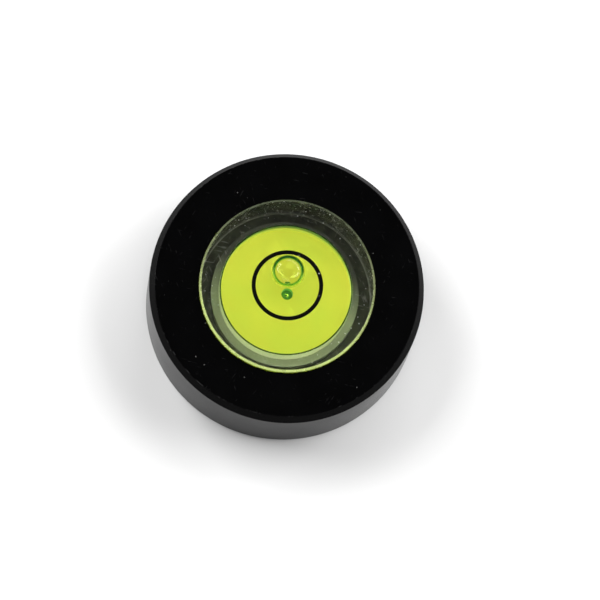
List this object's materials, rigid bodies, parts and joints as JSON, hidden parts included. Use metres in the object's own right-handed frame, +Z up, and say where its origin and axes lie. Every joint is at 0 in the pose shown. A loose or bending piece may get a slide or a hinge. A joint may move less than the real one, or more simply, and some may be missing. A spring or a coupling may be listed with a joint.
{
  "type": "circular bubble level",
  "caption": "Round bull's-eye bubble level: a black turned metal cup holding a clear vial with yellow-green liquid, a black target ring and an air bubble.",
  "frame": {"origin": "centre of the flat base face", "axes": "+Z up along the level's axis; +X to the right and +Y away from the viewer"},
  "size_m": [0.035, 0.035, 0.0131],
  "materials": {
    "anodised": "satin black anodised",
    "clear_acrylic": "clear polished acrylic",
    "plug_plastic": "pale moulded acrylic",
    "ball_steel": "polished steel",
    "ring_paint": "gloss black paint",
    "adhesive": "cured black adhesive",
    "vial_liquid": "clear fluorescent yellow-green liquid",
    "air": "air bubble"
  },
  "bodies": {
    "level": {"housing": "anodised", "vial_body": "clear_acrylic", "vial_plug": "plug_plastic", "fill_ball": "ball_steel", "target_ring": "ring_paint", "bond_bed": "adhesive"},
    "liquid_swirl": {"liquid": "vial_liquid"},
    "bubble_float": {"bubble": "air"}
  },
  "joints": [
    {"name": "liquid_turn", "type": "hinge", "parent": "level", "child": "liquid_swirl", "pos_m": [0, 0, 0], "axis": [0, 0, 1], "continuous": true},
    {"name": "bubble_drift", "type": "hinge", "parent": "liquid_swirl", "child": "bubble_float", "pos_m": [0, 0, -0.10572], "axis": [-0.9877, -0.1564, 0], "range_deg": [-1.29, 1.63], "stiffness_Nm_per_rad": 0.0005, "springref_deg": -0.17, "deforming": ["liquid"]}
  ]
}
